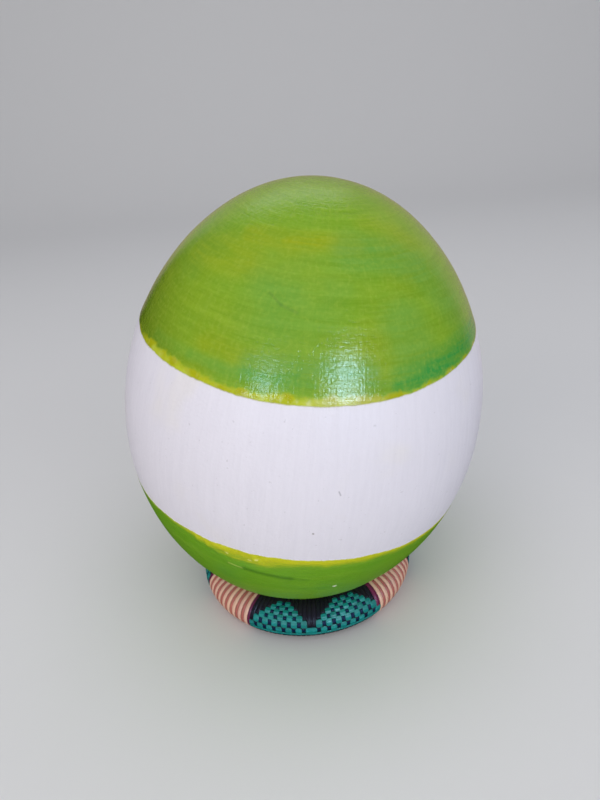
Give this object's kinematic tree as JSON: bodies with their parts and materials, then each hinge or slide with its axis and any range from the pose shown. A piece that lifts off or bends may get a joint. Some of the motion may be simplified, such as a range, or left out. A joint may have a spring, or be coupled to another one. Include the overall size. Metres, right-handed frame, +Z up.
{
  "type": "painted ostrich egg on a woven ring stand",
  "caption": "Large glossy egg with green ends and a white middle band, standing slightly tilted in a low woven ring with teal, dark and striped sections.",
  "frame": {"origin": "on the surface that the ring stands on, under the middle of the whole part's box", "axes": "+Z up; -Y is the side with the front woven panel; the egg's top leans towards +X and a little towards -Y"},
  "size_m": [0.1307, 0.1301, 0.1627],
  "materials": {
    "egg_enamel": "hand-brushed gloss paint over shell, green ends and an off-white band with yellow-green edge lines",
    "cane": "plain, hidden under the winding",
    "teal_strip": "satin flat strip",
    "dark_strip": "satin flat strip",
    "cream_strip": "satin flat strip",
    "red_strip": "satin flat strip"
  },
  "bodies": {
    "root": {"egg": "egg_enamel", "hoop_core": "cane", "lengthwise_strip_1": "teal_strip", "lengthwise_strip_2": "teal_strip", "lengthwise_strip_3": "teal_strip", "lengthwise_strip_4": "teal_strip", "lengthwise_strip_5": "teal_strip", "lengthwise_strip_6": "teal_strip", "lengthwise_strip_7": "teal_strip", "lengthwise_strip_8": "teal_strip", "dark_winding_1": "dark_strip", "cream_strip_1": "cream_strip", "red_strip_1": "red_strip", "dark_winding_2": "dark_strip", "cream_strip_2": "cream_strip", "red_strip_2": "red_strip", "dark_winding_3": "dark_strip", "cream_strip_3": "cream_strip", "red_strip_3": "red_strip"}
  },
  "joints": []
}
